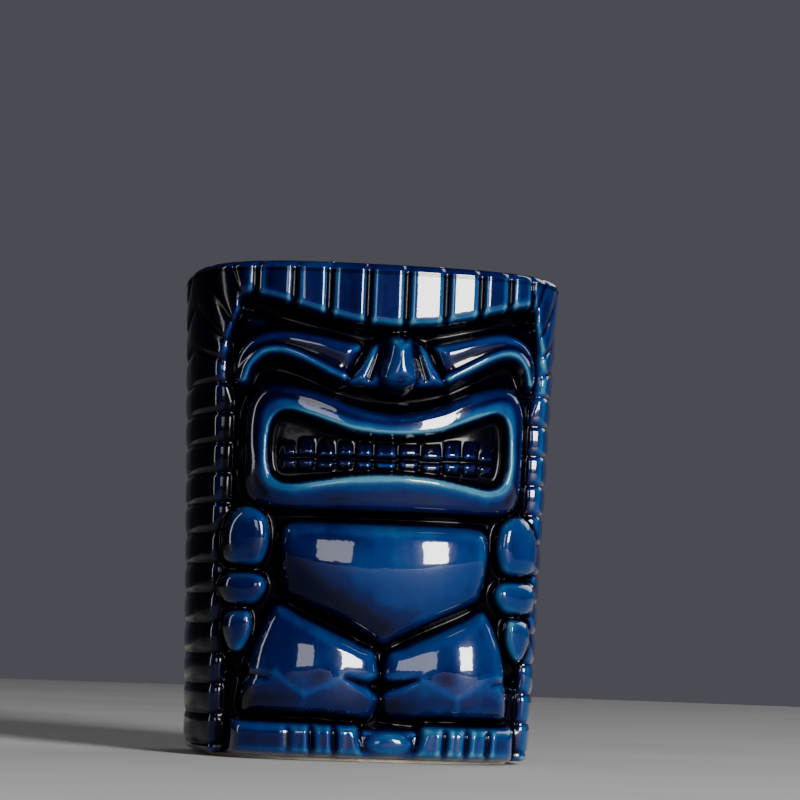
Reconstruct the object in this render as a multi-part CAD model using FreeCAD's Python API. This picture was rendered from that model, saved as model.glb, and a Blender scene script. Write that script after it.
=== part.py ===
"""A glazed ceramic tiki mug: a tapered, rounded-square cup with a carved figure in relief on its front.

The row frame is in millimetres, +Z up, and the figure faces -Y. The origin is on the table, under the
middle of the whole mug, nose included.
The cup itself is a wall, a floor, a foot ring and a rim. Every form of the relief is its own closed solid,
which stands face to face on the wall as an applied clay form does, clear of its neighbours by a glaze line.
"""

import functools
import math
import os

import FreeCAD
import Part

# Driving dimensions of the cup. The envelope is the outer surface of the hair that frames the figure.
HEIGHT = 120.0
RIM_HALF_WIDTH = 46.3
FOOT_HALF_WIDTH = 42.3
RIM_HALF_DEPTH = 42.0
FOOT_HALF_DEPTH = 39.0
AXIS_Y = 2.2  # the cup's axis is behind the origin by half of what the nose stands proud
PLAN_EXPONENT = 3.0  # 2 is an ellipse, and more is squarer
PLAN_POINTS = 40

HAIR_THICKNESS = 2.4  # the ribs, outside the wall at the sides and back
NICHE_DEPTH = 5.5  # from the envelope to the wall behind the figure
NICHE_TOP = 100.0  # above this the wall flares out under the fringe, to an even rim
WALL_THICKNESS = 4.2
FLOOR_UNDERSIDE = 2.0
FLOOR_TOP = 7.0
FOOT_RING_WIDTH = 6.0
FOOT_RING_SETBACK = 1.2
LIP_HEIGHT = 2.6
LIP_EDGE = 1.1  # how much the lip's top edge is broken on each side

# The hair: horizontal ribs round the cup, upright flutes over the forehead, and fanned locks between.
RIB_PITCH = 7.3
RIB_GAP = 0.9
RIB_BEVEL = 1.5
LOWEST_RIB = 3.0
BACK_HALF_WIDTH = 30.0  # the ribs are one group across the back and one round each side
FLUTE_GROOVES = (-33.0, -24.8, -15.8, -6.4, 2.6, 12.2, 20.6, 28.0, 34.2)  # cut by hand, so uneven
FLUTE_GAP = 1.2
FLUTE_SPREAD = 0.97  # the flutes draw together a little towards the rim
NICHE_HALF_WIDTH = 36.4
TEMPLE_X, TEMPLE_Z = 28.0, 92.0  # the locks fan about this point
TEMPLE_FRONT = -19.0  # the fanned locks are in front of this, and the level ribs behind it
TEMPLE_LOCKS = 3
TEMPLE_STEP = 22.0  # degrees from one fanned lock to the next
TEMPLE_GAP = 1.5  # degrees left clear each side of a lock

# The carving stands a little out of true, as the hand-made original does.
LEAN = 0.018  # mm sideways for each mm up
LEAN_FROM = 15.0
TILT = 0.03  # mm up for each mm sideways, over the face only
TILT_FROM, TILT_TO = 57.0, 88.0

CLEARANCE = 0.4  # between a form and the hair it is set into
FAR = 60.0  # further out than any surface of the cup


def half_sizes(z):
    """The envelope's half width and half depth at height z."""
    share = z / HEIGHT
    return (
        FOOT_HALF_WIDTH + (RIM_HALF_WIDTH - FOOT_HALF_WIDTH) * share,
        FOOT_HALF_DEPTH + (RIM_HALF_DEPTH - FOOT_HALF_DEPTH) * share,
    )


def closed_curve(points):
    """A smooth closed wire through points, with no corner where it starts and ends."""
    round_again = points + points[:1]
    along = [0.0]
    for here, there in zip(round_again, round_again[1:]):
        along.append(along[-1] + (there - here).Length)
    tangent = (points[1] - points[-1]).normalize()
    curve = Part.BSplineCurve()
    curve.interpolate(
        Points=round_again, Parameters=along, InitialTangent=tangent, FinalTangent=tangent, Scale=False
    )
    return Part.Wire([curve.toShape()])


def plan(z, side, front, back):
    """A rounded-square wire at height z, inset from the envelope by side, front and back."""
    half_width, half_depth = half_sizes(z)
    a = half_width - side
    b = half_depth - (front + back) / 2
    centre = AXIS_Y + (front - back) / 2
    points = []
    for i in range(PLAN_POINTS):
        turn = 2 * math.pi * i / PLAN_POINTS
        c, s = math.cos(turn), math.sin(turn)
        reach = (abs(c / a) ** PLAN_EXPONENT + abs(s / b) ** PLAN_EXPONENT) ** (-1 / PLAN_EXPONENT)
        points.append(FreeCAD.Vector(reach * c, centre + reach * s, z))
    return closed_curve(points)


def tapered(levels):
    """A solid through plans at several levels, each (z, side, front, back)."""
    return Part.makeLoft([plan(*level) for level in levels], True, True)


def niche_depth(z):
    """How far the wall's front is set back from the envelope at height z."""
    flare = max(0.0, z - NICHE_TOP) / (HEIGHT - NICHE_TOP)
    return NICHE_DEPTH + (HAIR_THICKNESS - NICHE_DEPTH) * flare


def wall_level(z, inset):
    """The level of the wall's outer surface at height z, drawn in all round by inset."""
    return (z, HAIR_THICKNESS + inset, niche_depth(z) + inset, HAIR_THICKNESS + inset)


def walled(z_low, z_high, inset):
    """The wall's outer body between two heights, drawn in all round by inset."""
    heights = [z for z in (z_low, NICHE_TOP, z_high) if z_low <= z <= z_high]
    return tapered([wall_level(z, inset) for z in heights])


def hollow(z_low, z_high):
    """The inside of the cup between two heights."""
    return walled(z_low, z_high, WALL_THICKNESS)


def placed(x, z):
    """A point of the carving, with its lean and tilt, on the plane of the cup's axis."""
    over_face = min(1.0, max(0.0, (z - TILT_FROM) / (TILT_TO - TILT_FROM)))
    return FreeCAD.Vector(x + LEAN * (z - LEAN_FROM), 0.0, z + TILT * x * over_face)


def rounded_outline(points):
    """A smooth closed wire through points of the carving."""
    return closed_curve([placed(*p) for p in points])


def cornered_outline(points):
    """A closed wire of straight edges through points of the carving."""
    corners = [placed(*p) for p in points]
    return Part.makePolygon(corners + corners[:1])


def prism(outline):
    """Everything in front of the cup's axis within an outline."""
    return Part.Face(outline).extrude(FreeCAD.Vector(0, -FAR, 0))


@functools.cache
def wall_body():
    return walled(-1.0, HEIGHT + 1.0, 0.0)


@functools.cache
def shell(proud):
    """The space outside the wall, out to a surface that stands proud of the envelope by that much."""
    return tapered([(0.0, *3 * [-proud]), (HEIGHT, *3 * [-proud])]).cut(wall_body())


def grown(points, by):
    """An outline's points, each moved out by that much along the outline's normal there."""
    before, after = points[-1:] + points[:-1], points[1:] + points[:1]
    turn = sum(x0 * z1 - x1 * z0 for (x0, z0), (x1, z1) in zip(points, after))
    outwards = math.copysign(by, turn)
    moved = []
    for (x0, z0), (x, z), (x1, z1) in zip(before, points, after):
        length = math.hypot(x1 - x0, z1 - z0)
        moved.append((x + outwards * (z1 - z0) / length, z - outwards * (x1 - x0) / length))
    return moved


def form(outline, proud, neighbours=()):
    """A form that stands on the wall within its outline, and clear of its neighbours' outlines."""
    shape = prism(outline).common(shell(proud))
    for points in neighbours:
        shape = shape.cut(prism(rounded_outline(grown(points, CLEARANCE))))
    return shape


def on_side(side, points):
    """The points of the viewer's right half, or mirrored for the left."""
    return [(side * x, z) for x, z in points]


def group(solids):
    return Part.makeCompound([s for shape in solids for s in shape.Solids])


# The cup.


def cup_wall():
    outside = walled(FLOOR_UNDERSIDE, HEIGHT - LIP_HEIGHT, 0.0)
    return outside.cut(hollow(FLOOR_UNDERSIDE - 1, HEIGHT))


def cup_floor():
    return hollow(FLOOR_UNDERSIDE, FLOOR_TOP)


def foot_ring():
    setback = HAIR_THICKNESS + FOOT_RING_SETBACK
    front = NICHE_DEPTH + FOOT_RING_SETBACK
    inner = setback + FOOT_RING_WIDTH
    outside = tapered([(0.0, setback, front, setback), (FLOOR_UNDERSIDE, setback, front, setback)])
    inside = tapered(
        [
            (0.0, inner, front + FOOT_RING_WIDTH, inner),
            (FLOOR_UNDERSIDE, inner, front + FOOT_RING_WIDTH, inner),
        ]
    )
    return outside.cut(inside)


def rim_lip():
    """The drinking edge, a band over the wall and the hair with both top edges broken."""
    low, shoulder = HEIGHT - LIP_HEIGHT, HEIGHT - LIP_EDGE
    outside = tapered([(low, 0.0, 0.0, 0.0), (shoulder, 0.0, 0.0, 0.0), (HEIGHT, *3 * [LIP_EDGE])])
    inside = tapered(
        [
            wall_level(low - LIP_EDGE, WALL_THICKNESS),
            wall_level(shoulder, WALL_THICKNESS),
            wall_level(HEIGHT + LIP_EDGE, WALL_THICKNESS - 2 * LIP_EDGE),
        ]
    )
    return outside.cut(inside)


# The hair.


def rib(z_low, z_high):
    """One rib right round the cup, bevelled above and below."""
    bevelled = (RIB_BEVEL, RIB_BEVEL, RIB_BEVEL)
    full = (0.0, 0.0, 0.0)
    ring = tapered(
        [
            (z_low, *bevelled),
            (z_low + RIB_BEVEL, *full),
            (z_high - RIB_BEVEL, *full),
            (z_high, *bevelled),
        ]
    )
    return ring.cut(wall_body())


def rib_levels():
    """The bottom and top of each rib, from the foot to the rim."""
    top = HEIGHT - LIP_HEIGHT - RIB_GAP
    count = int((top - LOWEST_RIB + RIB_GAP) / RIB_PITCH)
    pitch = (top - LOWEST_RIB + RIB_GAP) / count
    return [(LOWEST_RIB + i * pitch, LOWEST_RIB + (i + 1) * pitch - RIB_GAP) for i in range(count)]


def box(x_low, x_high, y_low, y_high, z_low=-1.0, z_high=HEIGHT + 1):
    corner = FreeCAD.Vector(x_low, y_low, z_low)
    return Part.makeBox(x_high - x_low, y_high - y_low, z_high - z_low, corner)


def arm_sockets():
    """What the arms take out of the ribs beside them."""
    prisms = []
    for side in (-1, 1):
        for points in (UPPER_ARM, FOREARM, HAND):
            prisms.append(prism(rounded_outline(grown(on_side(side, points), CLEARANCE))))
    return prisms


def hair_ribs(region, sockets):
    """The ribs inside a region, less the niche, the temples and the arms' sockets."""
    niche = box(-NICHE_HALF_WIDTH, NICHE_HALF_WIDTH, -FAR, 0)
    temples = box(-FAR, FAR, -FAR, TEMPLE_FRONT, TEMPLE_Z, HEIGHT + 1)
    ribs = []
    for z_low, z_high in rib_levels():
        ribs.append(rib(z_low, z_high).common(region).cut([niche, temples] + sockets))
    return group(ribs)


FRINGE_EDGE = [(0.0, 105.4), (9.2, 106.0), (18.4, 108.0), (28.0, 111.0), (36.0, 113.4)]


def fringe_edge(x):
    """Height of the fringe's lower edge at x."""
    for (x_low, z_low), (x_high, z_high) in zip(FRINGE_EDGE, FRINGE_EDGE[1:]):
        if x_low <= abs(x) <= x_high:
            return z_low + (z_high - z_low) * (abs(x) - x_low) / (x_high - x_low)


def hair_fringe():
    """The upright flutes over the forehead, one between each pair of grooves."""
    top = HEIGHT - LIP_HEIGHT
    flutes = []
    for left_groove, right_groove in zip(FLUTE_GROOVES, FLUTE_GROOVES[1:]):
        left, right = left_groove + FLUTE_GAP / 2, right_groove - FLUTE_GAP / 2
        corners = [
            (left, fringe_edge(left)),
            (right, fringe_edge(right)),
            (right * FLUTE_SPREAD, top),
            (left * FLUTE_SPREAD, top),
        ]
        outline = Part.makePolygon([FreeCAD.Vector(x, 0, z) for x, z in corners + corners[:1]])
        flutes.append(form(outline, 0.0))
    return group(flutes)


def temple_locks(side):
    """Locks that fan from the upright flutes down to the ribs, round the corner of the niche."""
    band = box(-FAR, FAR, -FAR, TEMPLE_FRONT - RIB_GAP, TEMPLE_Z, HEIGHT - LIP_HEIGHT)
    first, last = FLUTE_GROOVES[0], FLUTE_GROOVES[-1]
    fringe = box(first - FLUTE_GAP / 2, last + FLUTE_GAP / 2, -FAR, 0)
    niche = box(-NICHE_HALF_WIDTH, NICHE_HALF_WIDTH, -FAR, 0, 0, fringe_edge(NICHE_HALF_WIDTH - 1))
    locks = []
    for i in range(TEMPLE_LOCKS):
        start = math.radians(i * TEMPLE_STEP + TEMPLE_GAP)
        end = math.radians((i + 1) * TEMPLE_STEP - TEMPLE_GAP)
        middle = FreeCAD.Vector(side * TEMPLE_X, 0, TEMPLE_Z)
        near = FreeCAD.Vector(side * FAR * math.cos(start), 0, FAR * math.sin(start))
        far = FreeCAD.Vector(side * FAR * math.cos(end), 0, FAR * math.sin(end))
        fan = Part.makePolygon([middle, middle + near, middle + far, middle])
        locks.append(form(fan, 0.0, [on_side(side, BROW)]).common(band).cut([fringe, niche]))
    return group(locks)


# The face.

BROW = [
    (9.0, 96.5),
    (9.6, 99.6),
    (18.0, 101.6),
    (27.0, 103.6),
    (32.6, 102.2),
    (35.6, 97.5),
    (35.8, 91.5),
    (34.0, 93.5),
    (32.0, 98.0),
    (27.5, 99.6),
    (22.0, 98.6),
    (15.0, 94.6),
]
EYELID = [
    (11.4, 90.8),
    (14.8, 93.0),
    (21.6, 97.0),
    (27.2, 98.0),
    (30.2, 96.6),
    (32.6, 92.2),
    (31.4, 91.4),
    (29.2, 94.6),
    (26.4, 95.8),
    (22.4, 94.9),
    (15.6, 91.4),
]
BROW_PROUD = 0.4
EYELID_PROUD = -1.2


def brow(side):
    neighbours = [on_side(side, NOSTRIL), whole_outline(MUZZLE_OUTER)]
    return form(rounded_outline(on_side(side, BROW)), BROW_PROUD, neighbours)


def eyelid(side):
    neighbours = [on_side(side, BROW), whole_outline(MUZZLE_OUTER)]
    return form(rounded_outline(on_side(side, EYELID)), EYELID_PROUD, neighbours)


NOSE = [
    (0.0, 102.2),
    (3.4, 101.0),
    (5.4, 92.6),
    (3.0, 90.6),
    (0.0, 90.2),
    (-3.0, 90.6),
    (-5.4, 92.6),
    (-3.4, 101.0),
]
NOSTRIL = [(5.0, 99.6), (8.0, 99.0), (10.4, 92.0), (9.6, 90.6), (6.6, 90.2)]
NOSE_PROUD = 5.0
NOSTRIL_PROUD = 2.6


def nose():
    return form(rounded_outline(NOSE), NOSE_PROUD)


def nostril(side):
    return form(rounded_outline(on_side(side, NOSTRIL)), NOSTRIL_PROUD, [NOSE])


# Half outlines of the mouth's rings, from the middle of the top round to the middle of the bottom.
MUZZLE_OUTER = [
    (0.0, 85.0),
    (10.0, 86.2),
    (19.0, 89.4),
    (27.0, 91.0),
    (32.6, 88.0),
    (34.2, 80.0),
    (34.2, 70.0),
    (32.6, 62.6),
    (26.0, 59.8),
    (0.0, 59.4),
]
LIP_OUTER = [
    (0.0, 81.7),
    (10.0, 82.6),
    (19.0, 85.6),
    (26.4, 87.6),
    (30.6, 85.4),
    (31.8, 79.0),
    (31.8, 71.0),
    (30.2, 65.4),
    (25.0, 63.8),
    (12.0, 65.4),
    (0.0, 66.2),
]
MOUTH = [
    (0.0, 78.4),
    (10.0, 79.2),
    (19.0, 81.6),
    (25.4, 83.4),
    (28.0, 80.4),
    (28.4, 75.0),
    (28.0, 70.4),
    (25.4, 67.2),
    (19.0, 67.4),
    (10.0, 69.0),
    (0.0, 69.4),
]
MUZZLE_PROUD = 1.2
LIP_PROUD = 3.0


def whole_outline(half):
    """A half outline and its mirror image, as one closed outline."""
    return half + [(-x, z) for x, z in reversed(half) if x > 0]


def muzzle():
    neighbours = [NOSE, on_side(-1, NOSTRIL), on_side(1, NOSTRIL), whole_outline(LIP_OUTER)]
    return form(rounded_outline(whole_outline(MUZZLE_OUTER)), MUZZLE_PROUD, neighbours)


def lip_ring():
    outside = form(rounded_outline(whole_outline(LIP_OUTER)), LIP_PROUD)
    return outside.cut(prism(rounded_outline(whole_outline(MOUTH))))


TOOTH_EDGES = (0.0, 5.8, 11.4, 16.6, 21.0, 24.6)
TOOTH_GAP = 0.7
BITE_HEIGHT = 72.7
TEETH_PROUD = -1.2


def teeth(root_middle, root_corner, bite_rise, towards):
    """Ten teeth in a row, from their roots at the lip to the bite. towards is 1 for the lower row."""
    row = []
    widest = TOOTH_EDGES[-1]
    for side in (-1, 1):
        for low, high in zip(TOOTH_EDGES, TOOTH_EDGES[1:]):
            x_low, x_high = low + TOOTH_GAP / 2, high - TOOTH_GAP / 2
            corners = []
            for x, at_root in ((x_low, True), (x_high, True), (x_high, False), (x_low, False)):
                share = (x / widest) ** 2
                root = root_middle + (root_corner - root_middle) * share
                bite = BITE_HEIGHT - towards * TOOTH_GAP / 2 + bite_rise * share
                corners.append((side * x, root if at_root else bite))
            row.append(form(cornered_outline(corners), TEETH_PROUD))
    return group(row)


def upper_teeth():
    return teeth(77.8, 80.2, 4.0, -1)


def lower_teeth():
    return teeth(69.9, 68.6, 1.0, 1)


# The body.

BELLY = [
    (0.0, 58.0),
    (20.0, 58.0),
    (25.0, 56.4),
    (25.2, 50.0),
    (24.2, 42.0),
    (22.4, 38.8),
    (12.0, 34.2),
    (5.0, 30.4),
    (0.0, 28.2),
]
BELLY_PROUD = 4.0
UPPER_ARM = [
    (32.5, 60.4),
    (37.0, 56.6),
    (38.0, 50.5),
    (36.6, 47.0),
    (30.2, 46.8),
    (27.8, 50.5),
    (28.4, 56.6),
]
FOREARM = [(30.4, 44.8), (36.8, 44.8), (38.4, 41.0), (36.6, 37.0), (31.4, 37.0), (28.0, 40.8)]
HAND = [(31.8, 35.0), (36.2, 34.8), (37.4, 31.0), (35.4, 26.8), (33.2, 26.4), (31.2, 30.0)]
ARM_PROUD = 0.8
THIGH = [
    (0.8, 25.8),
    (6.0, 28.6),
    (15.0, 32.8),
    (23.0, 36.8),
    (26.0, 35.6),
    (30.2, 26.0),
    (30.0, 21.8),
    (20.0, 19.6),
    (9.6, 20.6),
    (0.8, 20.9),
]
SHIN = [
    (0.8, 16.8),
    (5.0, 18.2),
    (9.6, 19.6),
    (20.0, 18.6),
    (29.4, 20.0),
    (31.2, 17.4),
    (32.0, 11.8),
    (0.8, 11.4),
]
LEG_PROUD = 2.6
FOOT_TOP = 9.8
FOOT_PROUD = 1.4


def belly():
    return form(rounded_outline(whole_outline(BELLY)), BELLY_PROUD)


def limb(points, side, neighbours=()):
    others = [on_side(side, other) for other in neighbours]
    return form(rounded_outline(on_side(side, points)), ARM_PROUD, others)


def leg_part(points, side):
    neighbours = [whole_outline(BELLY), on_side(side, HAND)]
    return form(cornered_outline(on_side(side, points)), LEG_PROUD, neighbours)


FOOT_UNDERSIDE = 1.0
FEET_MIDDLE = 2.8  # the feet stand a little to the right of the figure's middle
TOE_TOP = 9.4
TOE_PROUD = 2.0
TOE_WIDTH = 5.5
TOE_GAP = 0.6
TOES = 2
FIRST_TOE = 13.4
FOOT_OUTER = 35.8
BOSS_HALF_WIDTH = 5.6
BOSS_GAP = 1.2


def upright(side, low, high, top, proud):
    """A block of a foot between two distances from the feet's middle, from just above the table to its top."""
    near, far = FEET_MIDDLE + side * low, FEET_MIDDLE + side * high
    corners = [(near, FOOT_UNDERSIDE), (far, FOOT_UNDERSIDE), (far, top), (near, top)]
    return form(cornered_outline(corners), proud)


def foot(side):
    """The inner and outer toes of one foot, with the place of the toes between them left open."""
    inner = upright(side, BOSS_HALF_WIDTH + BOSS_GAP, FIRST_TOE - TOE_GAP, FOOT_TOP, FOOT_PROUD)
    outer_edge = FOOT_OUTER - side * FEET_MIDDLE
    outer = upright(side, FIRST_TOE + TOES * TOE_WIDTH, outer_edge, FOOT_TOP, FOOT_PROUD)
    return group([inner, outer])


def toes(side):
    """The toes between the inner and the outer one."""
    row = []
    for i in range(TOES):
        start = FIRST_TOE + i * TOE_WIDTH
        row.append(upright(side, start, start + TOE_WIDTH - TOE_GAP, TOE_TOP, TOE_PROUD))
    return group(row)


def centre_boss():
    left, right = FEET_MIDDLE - BOSS_HALF_WIDTH, FEET_MIDDLE + BOSS_HALF_WIDTH
    oval = [(left, 5.0), (FEET_MIDDLE, 8.6), (right, 5.0), (FEET_MIDDLE, 1.2)]
    return form(rounded_outline(oval), FOOT_PROUD)


def main():
    left, right = -1, 1  # the viewer's left and right, with the figure facing the viewer
    sockets = arm_sockets()
    nodes = {
        "cup_wall": cup_wall(),
        "cup_floor": cup_floor(),
        "foot_ring": foot_ring(),
        "rim_lip": rim_lip(),
        "hair_fringe": hair_fringe(),
        "left_temple_locks": temple_locks(left),
        "right_temple_locks": temple_locks(right),
        "left_hair_ribs": hair_ribs(box(-FAR, -BACK_HALF_WIDTH, -FAR, FAR), sockets),
        "right_hair_ribs": hair_ribs(box(BACK_HALF_WIDTH, FAR, -FAR, FAR), sockets),
        "back_hair_ribs": hair_ribs(box(-BACK_HALF_WIDTH, BACK_HALF_WIDTH, 0, FAR), sockets),
        "nose": nose(),
        "muzzle": muzzle(),
        "lip_ring": lip_ring(),
        "upper_teeth": upper_teeth(),
        "lower_teeth": lower_teeth(),
        "belly": belly(),
        "centre_boss": centre_boss(),
    }
    for name, side in (("left", left), ("right", right)):
        nodes[name + "_brow"] = brow(side)
        nodes[name + "_eyelid"] = eyelid(side)
        nodes[name + "_nostril"] = nostril(side)
        nodes[name + "_upper_arm"] = limb(UPPER_ARM, side, [whole_outline(MUZZLE_OUTER)])
        nodes[name + "_forearm"] = limb(FOREARM, side, [UPPER_ARM])
        nodes[name + "_hand"] = limb(HAND, side, [FOREARM])
        nodes[name + "_thigh"] = leg_part(THIGH, side)
        nodes[name + "_shin"] = leg_part(SHIN, side)
        nodes[name + "_foot"] = foot(side)
        nodes[name + "_toes"] = toes(side)
    os.makedirs("parts", exist_ok=True)
    for name, shape in nodes.items():
        shape.exportStep("parts/" + name + ".step")
        print(f"{name}: {len(shape.Solids)} solids, {shape.Volume / 1000:.2f} cm3, valid {shape.isValid()}")


if __name__ == "__main__":
    main()
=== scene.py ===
import math

import bpy
import mathutils
import numpy as np
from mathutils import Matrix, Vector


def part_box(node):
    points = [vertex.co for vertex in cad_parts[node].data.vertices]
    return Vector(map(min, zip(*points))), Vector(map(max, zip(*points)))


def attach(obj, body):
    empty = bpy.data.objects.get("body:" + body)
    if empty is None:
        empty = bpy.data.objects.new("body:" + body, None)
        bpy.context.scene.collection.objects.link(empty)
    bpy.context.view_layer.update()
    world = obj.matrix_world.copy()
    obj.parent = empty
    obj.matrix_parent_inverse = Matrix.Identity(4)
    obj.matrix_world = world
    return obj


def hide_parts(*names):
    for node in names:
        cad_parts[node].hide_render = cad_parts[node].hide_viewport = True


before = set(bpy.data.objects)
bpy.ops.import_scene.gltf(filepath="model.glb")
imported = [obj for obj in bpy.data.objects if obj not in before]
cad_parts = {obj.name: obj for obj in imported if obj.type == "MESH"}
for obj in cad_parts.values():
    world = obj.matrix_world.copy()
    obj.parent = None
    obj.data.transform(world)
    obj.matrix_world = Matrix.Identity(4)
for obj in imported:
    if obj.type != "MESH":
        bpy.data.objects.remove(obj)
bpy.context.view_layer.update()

# Looks of a glazed tiki mug.
#
# The whole outside is one continuous sculpted surface: a grid of columns round the cup and rows up it,
# raised or sunk from the cup's envelope by the carving. The grid is then cut along the carving's own
# edges into separate closed pieces, one for each form of the relief, over the closed vessel that they
# stand on.
# All lengths are in millimetres until a mesh is made. Left and right are the viewer's.

MM = 0.001
rng = np.random.default_rng(7)

# The cup's envelope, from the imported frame, and the wall inside it.

rim_low, rim_high = (np.array(corner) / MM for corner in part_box("rim_lip"))
HEIGHT = rim_high[2]
RIM_HALF_WIDTH = (rim_high[0] - rim_low[0]) / 2
RIM_HALF_DEPTH = (rim_high[1] - rim_low[1]) / 2
AXIS_Y = (rim_high[1] + rim_low[1]) / 2
FOOT_HALF_WIDTH = RIM_HALF_WIDTH - 4.0
FOOT_HALF_DEPTH = RIM_HALF_DEPTH - 3.0
PLAN_EXPONENT = 3.0
FACE_SHARE, SIDE_SHARE = 0.76, 0.97  # of the half width, where the front begins to turn, and ends

NICHE_DEPTH = 5.5
NICHE_TOP = 100.0
HAIR_THICKNESS = 2.4
WALL_THICKNESS = 4.2
FLOOR_TOP = 7.0
BODY_BOTTOM = 1.0
FOOT_RING_TOP = 2.0
LIP_RISE = 1.9

# Grid spacing.
FRONT_SPACING = 0.42
BACK_SPACING = 1.0
ROW_SPACING = 0.45
FINE_ROW_SPACING = 0.3
FINE_ROWS = (60.0, 93.0)
FRONT_TURN, SIDE_TURN = 0.85, 1.05

# The hair.
RIB_PITCH = 7.3
LOWEST_RIB = 3.0
RIB_GROOVE, RIB_GROOVE_HALF_WIDTH = 0.55, 0.55
RIB_SINK, RIB_PILLOW = 0.1, 0.2
TEMPLE_ARC, TEMPLE_Z = 28.0, 92.0
TEMPLE_STEP = 17.0  # degrees from one lock to the next
LOCKS_FADE, LOCKS_LEVEL = 52.0, 84.0
LOCKS_END, SIDE_RIBS_END = 56.0, 100.0
FLUTE_GROOVES = np.array([-42.5, -33.2, -24.2, -15.8, -6.4, 2.9, 12.7, 21.5, 29.1, 35.6, 42.5])
FLUTE_SINK, FLUTE_EDGE = 0.3, 0.05
FLUTE_LEAN_X = [-24.2, -15.8, -6.4, 5.0, 12.7, 21.5, 26.0, 36.0]
FLUTE_LEAN = [0.0, 0.45, 0.0, 0.0, 0.36, 0.36, 0.2, 0.0]
FLUTE_GROOVE_DEPTH, FLUTE_GROOVE_HALF_WIDTH = 1.6, 0.72
NICHE_EDGE_Z = [9.0, 60.0, 86.0, 92.0, 101.0, 108.0]
NICHE_EDGE_X = [36.0, 36.4, 36.6, 38.6, 38.6, 36.0]
NICHE_BOTTOM = 9.0
CORNER_Z = [10.0, 100.0]
CORNER_X = [39.2, 41.0]
CORNER_PROUD = 0.5
CORNER_FADES, CORNER_ENDS = 96.0, 106.0
COLUMN_TILT = 0.13
HAIR_EDGE_RADIUS = 1.8
VALLEY_DEPTH, VALLEY_HALF_WIDTH, VALLEY_BELOW = 2.0, 2.0, 2.6  # under the fringe
FRINGE_EDGE_X = [0.0, 9.2, 18.4, 28.0, 36.0, 60.0]
FRINGE_EDGE_Z = [104.3, 105.0, 107.0, 109.8, 111.8, 116.0]
FRINGE_HALF_WIDTH = 35.6
FRINGE_DROP = 4.0  # how far the flutes' surface runs on under their edge
FAR_IN = 50.0  # further in than any edge's rounding reaches

# The figure stands a little out of true: it leans as it rises, and its face is tilted.
LEAN, LEAN_FROM = 0.018, 15.0
TILT, TILT_FROM, TILT_TO = 0.03, 57.0, 88.0


def smoothstep(low, high, value):
    share = np.clip((value - low) / (high - low), 0.0, 1.0)
    return share * share * (3.0 - 2.0 * share)


def half_sizes(z):
    """The envelope's half width and half depth at a height."""
    share = z / HEIGHT
    half_width = FOOT_HALF_WIDTH + (RIM_HALF_WIDTH - FOOT_HALF_WIDTH) * share
    half_depth = FOOT_HALF_DEPTH + (RIM_HALF_DEPTH - FOOT_HALF_DEPTH) * share
    return half_width, half_depth


def plan(turn, z, side=0.0, front=0.0, back=0.0):
    """x and y of the envelope at angles from the front and heights, drawn in by side, front and back."""
    half_width, half_depth = half_sizes(z)
    half_width, half_depth = half_width - side, half_depth - (front + back) / 2
    across, along = np.sin(turn), np.cos(turn)
    reach = (
        np.abs(across / half_width) ** PLAN_EXPONENT + np.abs(along / half_depth) ** PLAN_EXPONENT
    ) ** (-1 / PLAN_EXPONENT)
    return reach * across, AXIS_Y + (front - back) / 2 - reach * along


def niche_depth(z):
    flare = np.clip((z - NICHE_TOP) / (HEIGHT - NICHE_TOP), 0.0, 1.0)
    return NICHE_DEPTH + (HAIR_THICKNESS - NICHE_DEPTH) * flare


def column_turns():
    """Angles of the grid's columns from the front, close together across the face."""
    fine = np.linspace(-math.pi, math.pi, 8001)
    x, y = plan(fine, HEIGHT / 2)
    middle = np.abs(fine[1:] + fine[:-1]) / 2
    spacing = FRONT_SPACING + (BACK_SPACING - FRONT_SPACING) * smoothstep(FRONT_TURN, SIDE_TURN, middle)
    count = np.concatenate([[0.0], np.cumsum(np.hypot(np.diff(x), np.diff(y)) / spacing)])
    total = int(round(count[-1]))
    return np.interp(np.arange(total) * count[-1] / total, count, fine)


def row_heights():
    """Heights of the grid's rows, close together over the mouth."""
    low, high = FINE_ROWS
    top = HEIGHT - LIP_RISE
    stretches = [(BODY_BOTTOM, low, ROW_SPACING), (low, high, FINE_ROW_SPACING), (high, top, ROW_SPACING)]
    rows = [np.linspace(a, b, int((b - a) / step), endpoint=False) for a, b, step in stretches]
    return np.concatenate(rows + [[top]])


TURNS = column_turns()
ROWS = row_heights()
TURN, Z = np.meshgrid(TURNS, ROWS)
X, Y = plan(TURN, Z)
middle_x, middle_y = plan(TURNS, HEIGHT / 2)
steps = np.hypot(np.diff(middle_x), np.diff(middle_y))
ARC = np.concatenate([[0.0], np.cumsum(steps)])
ARC = np.broadcast_to(ARC - np.interp(0.0, TURNS, ARC), X.shape)


def outward():
    """The way the carving is raised: straight forward across the face, square to the wall elsewhere."""
    ahead, behind = TURN + 1e-3, TURN - 1e-3
    (x1, y1), (x0, y0) = plan(ahead, Z), plan(behind, Z)
    length = np.hypot(x1 - x0, y1 - y0)
    normal_x, normal_y = (y1 - y0) / length, -(x1 - x0) / length
    front = (1.0 - smoothstep(FACE_SHARE, SIDE_SHARE, np.abs(X) / RIM_HALF_WIDTH)) * (Y < AXIS_Y)
    way_x = normal_x * (1 - front)
    way_y = normal_y * (1 - front) - front
    length = np.hypot(way_x, way_y)
    return way_x / length, way_y / length


OUT_X, OUT_Y = outward()

# Carving coordinates: upright and level across the figure. The lean dies away towards the niche's sides.
U = X - LEAN * (Z - LEAN_FROM) * np.clip(1 - (X / 38.0) ** 2, 0.0, 1.0)
V = Z - TILT * U * np.clip((Z - TILT_FROM) / (TILT_TO - TILT_FROM), 0.0, 1.0)
FRONT = (Y < AXIS_Y) & (np.abs(X) < RIM_HALF_WIDTH)

# Outlines and strokes.


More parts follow.
